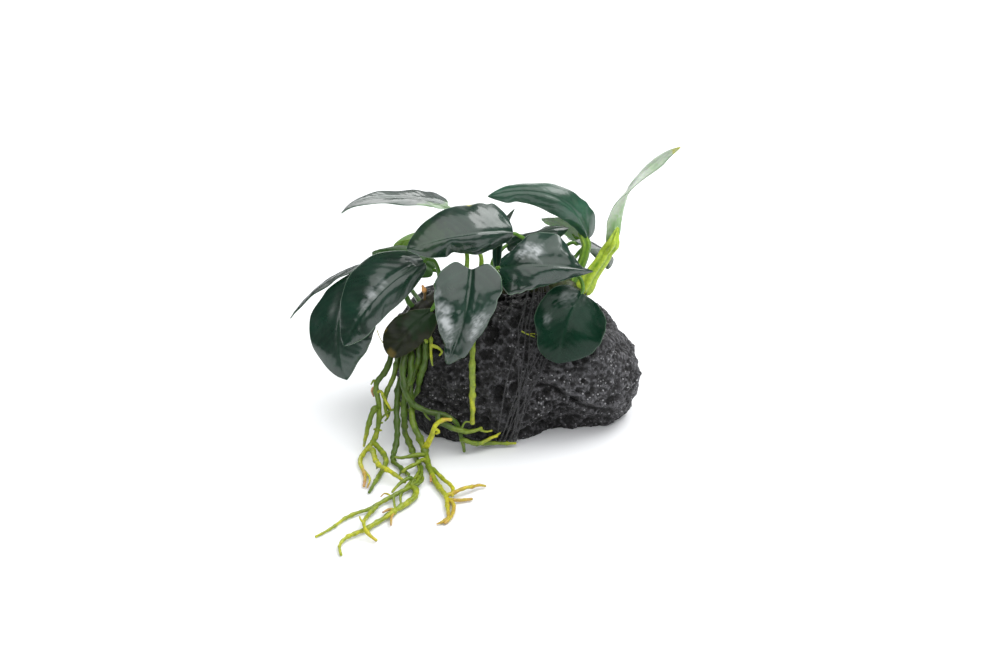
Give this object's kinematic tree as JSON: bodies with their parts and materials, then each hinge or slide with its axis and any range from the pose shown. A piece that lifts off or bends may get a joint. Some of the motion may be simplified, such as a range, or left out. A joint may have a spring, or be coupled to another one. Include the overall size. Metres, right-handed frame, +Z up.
{
  "type": "aquarium plant on stone",
  "caption": "Small dark green broad-leaved aquarium plant tied with thread on a lump of black lava rock, its roots hanging at one end and spreading over the surface in front.",
  "frame": {"origin": "in the flat foot of the stone, under the middle of the stone", "axes": "+X to the right along the stone's long side, +Y to the back, away from the roots that lie in front, +Z up"},
  "size_m": [0.1384, 0.139, 0.1006],
  "materials": {
    "stone": "rough, matt black lava rock full of open bubbles",
    "thread": "thin dark cotton thread",
    "rhizome": "dark olive-brown, ringed by old leaf scars",
    "blade": "glossy, leathery, very dark green leaf",
    "blade_pale": "glossy light green young leaf",
    "blade_old": "dull olive-brown dying leaf",
    "stem": "smooth light green leaf stem",
    "root": "fleshy green root",
    "root_yellow": "fleshy yellow root tip"
  },
  "bodies": {
    "root": {"leaf_back_left": "blade_pale", "leaf_back_middle": "blade", "leaf_back_right": "blade", "leaf_behind": "blade", "leaf_bud": "blade", "leaf_crown": "blade", "leaf_far_left": "blade", "leaf_front": "blade", "leaf_left": "blade", "leaf_low_left": "blade", "leaf_old": "blade_old", "leaf_on_stone": "blade", "leaf_pale": "blade_pale", "leaf_right": "blade", "leaf_top_left": "blade", "leaf_top_right": "blade", "leaf_young": "blade_pale", "rhizome": "rhizome", "root_aerial": "root", "root_bent": "root", "root_crossing": "root", "root_far": "root", "root_foot": "root", "root_front": "root", "root_gold_hook": "root_yellow", "root_gold_stub": "root_yellow", "root_inner": "root", "root_ledge": "root", "root_ledge_foot": "root", "root_ledge_fork": "root", "root_left": "root", "root_left_curl": "root", "root_left_fork": "root", "root_left_slant": "root", "root_left_yellow": "root_yellow", "root_loop": "root", "root_second": "root", "root_spur": "root", "root_thin": "root", "root_yellow_lower": "root", "root_yellow_tip": "root_yellow", "root_yellow_upper": "root", "stem_back_left": "stem", "stem_back_middle": "stem", "stem_back_right": "stem", "stem_behind": "stem", "stem_crown": "stem", "stem_far_left": "stem", "stem_front": "stem", "stem_left": "stem", "stem_low_left": "stem", "stem_old": "stem", "stem_on_stone": "stem", "stem_pale": "stem", "stem_right": "stem", "stem_top_left": "stem", "stem_top_right": "stem", "stem_young": "stem", "stone": "stone", "thread": "thread"}
  },
  "joints": []
}
